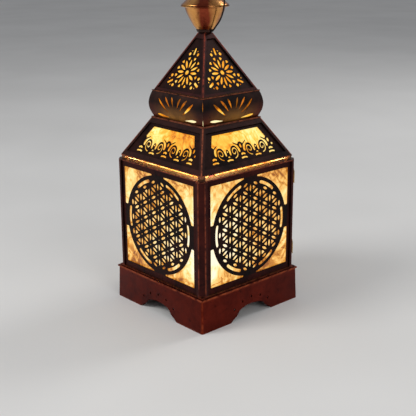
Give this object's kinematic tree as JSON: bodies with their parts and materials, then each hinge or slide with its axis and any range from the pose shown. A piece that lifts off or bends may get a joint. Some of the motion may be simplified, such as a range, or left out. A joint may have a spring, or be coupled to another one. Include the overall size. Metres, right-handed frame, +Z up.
{
  "type": "square pierced-metal candle lantern",
  "caption": "Square tabletop candle lantern: pierced copper panels over amber glass, hinged back door, hipped roof, bulging cornice, spire, spun finial and hanging ring.",
  "frame": {"origin": "on the floor, in the middle of the lantern's outline", "axes": "+Z up through the finial; the front faces -Y, the door is on the back, at +Y"},
  "size_m": [0.134, 0.1368, 0.3387],
  "materials": {
    "antique_copper": "aged copper, satin",
    "dark_copper": "darkened copper, worn",
    "fittings_brass": "aged brass",
    "wire": "blackened wire",
    "amber_glass": "rippled amber",
    "can": "thin pressed sheet",
    "wax": "cream wax",
    "wick": "charred cotton"
  },
  "bodies": {
    "lantern": {"base_skirt": "antique_copper", "base_plate": "antique_copper", "body_sill": "antique_copper", "body_head": "antique_copper", "front_panel": "antique_copper", "right_panel": "antique_copper", "left_panel": "antique_copper", "roof_frame": "antique_copper", "finial_bowl": "antique_copper", "finial_dome": "antique_copper", "finial_tip": "antique_copper", "roof_face_front": "antique_copper", "cornice_face_front": "antique_copper", "spire_face_front": "antique_copper", "roof_glass_front": "amber_glass", "roof_face_right": "antique_copper", "cornice_face_right": "antique_copper", "spire_face_right": "antique_copper", "roof_glass_right": "amber_glass", "roof_face_back": "antique_copper", "cornice_face_back": "antique_copper", "spire_face_back": "antique_copper", "roof_glass_back": "amber_glass", "roof_face_left": "antique_copper", "cornice_face_left": "antique_copper", "spire_face_left": "antique_copper", "roof_glass_left": "amber_glass", "corner_post_front_right": "dark_copper", "corner_post_back_right": "dark_copper", "corner_post_back_left": "dark_copper", "corner_post_front_left": "dark_copper", "eave_tray": "dark_copper", "cornice_seat": "dark_copper", "cornice_cap": "dark_copper", "spire_frame": "dark_copper", "neck_collar": "dark_copper", "front_glass": "amber_glass", "right_glass": "amber_glass", "left_glass": "amber_glass", "spire_glass": "amber_glass", "cornice_glass": "amber_glass", "candle_cup": "fittings_brass", "latch_rivet": "fittings_brass", "hinge_upper_post_leaf": "fittings_brass", "hinge_upper_pin": "fittings_brass", "hinge_lower_post_leaf": "fittings_brass", "hinge_lower_pin": "fittings_brass"},
    "door": {"door_panel": "antique_copper", "door_frame": "dark_copper", "door_glass": "amber_glass", "door_glass_strip_upper": "fittings_brass", "door_glass_strip_lower": "fittings_brass", "hinge_upper_door_leaf": "fittings_brass", "hinge_lower_door_leaf": "fittings_brass", "door_knob": "fittings_brass"},
    "latch": {"latch_button": "fittings_brass"},
    "bail": {"bail_ring": "wire"},
    "tealight": {"tealight_can": "can", "tealight_wax": "wax", "tealight_wick": "wick"}
  },
  "joints": [
    {"name": "door_hinge", "type": "hinge", "parent": "lantern", "child": "door", "pos_m": [0.0567, 0.0672, 0.0937], "axis": [0, 0, -1], "range_deg": [0, 170]},
    {"name": "latch_turn", "type": "hinge", "parent": "lantern", "child": "latch", "pos_m": [-0.0585, 0.0659, 0.1157], "axis": [0, 1, 0], "continuous": true},
    {"name": "bail_swing", "type": "hinge", "parent": "lantern", "child": "bail", "pos_m": [0, 0, 0.27795], "axis": [1, 0, 0], "range_deg": [-135, 135]},
    {"name": "tealight_lift", "type": "slide", "parent": "lantern", "child": "tealight", "axis": [0, 0, 1], "range_m": [0, 0.06]}
  ]
}
